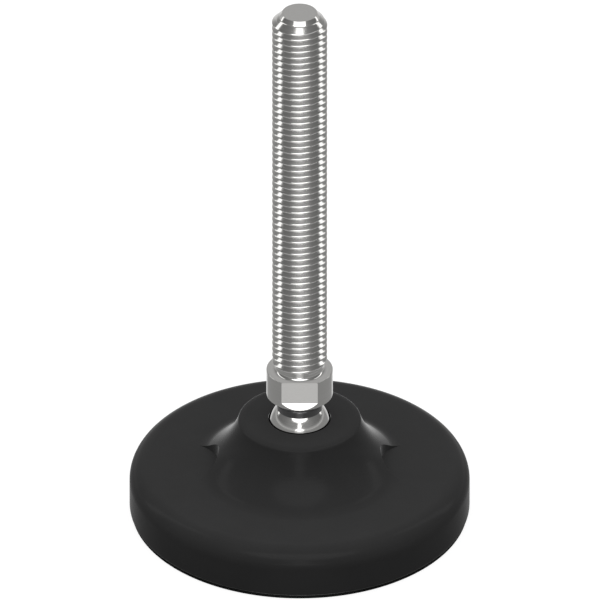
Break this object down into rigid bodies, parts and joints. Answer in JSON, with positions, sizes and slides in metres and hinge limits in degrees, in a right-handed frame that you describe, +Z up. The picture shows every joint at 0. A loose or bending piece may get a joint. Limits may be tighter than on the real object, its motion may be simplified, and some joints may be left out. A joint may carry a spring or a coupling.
{
  "type": "swivel levelling foot",
  "caption": "Machine levelling foot: a threaded stainless spindle with a wrench collar, its ball end turning and tilting in a round black plastic base with a rubber pad.",
  "frame": {"origin": "middle of the pad's underside, on the floor", "axes": "+Z up along the upright spindle; the two spot faces lie on -X and +X; the pictured side faces -Y"},
  "size_m": [0.098, 0.098, 0.1675],
  "materials": {
    "base_plastic": "fine-grained moulded glass-filled polyamide, black",
    "pad_rubber": "plain black rubber",
    "liner_plastic": "smooth black acetal",
    "ring_rubber": "dark grey rubber with a slight sheen",
    "stainless": "turned stainless steel, bright"
  },
  "bodies": {
    "base": {"base": "base_plastic", "anti_slip_pad": "pad_rubber"},
    "socket": {"socket_liner": "liner_plastic"},
    "ring": {"neck_ring": "ring_rubber"},
    "spindle": {"spindle": "stainless"}
  },
  "joints": [
    {"name": "socket_turn", "type": "hinge", "parent": "base", "child": "socket", "pos_m": [0, 0, 0.02895], "axis": [0, 0, 1], "continuous": true},
    {"name": "spindle_tilt", "type": "hinge", "parent": "socket", "child": "ring", "pos_m": [0, 0, 0.02895], "axis": [1, 0, 0], "range_deg": [-25, 25]},
    {"name": "spindle_spin", "type": "hinge", "parent": "ring", "child": "spindle", "pos_m": [0, 0, 0.02895], "axis": [0, 0, 1], "continuous": true}
  ]
}
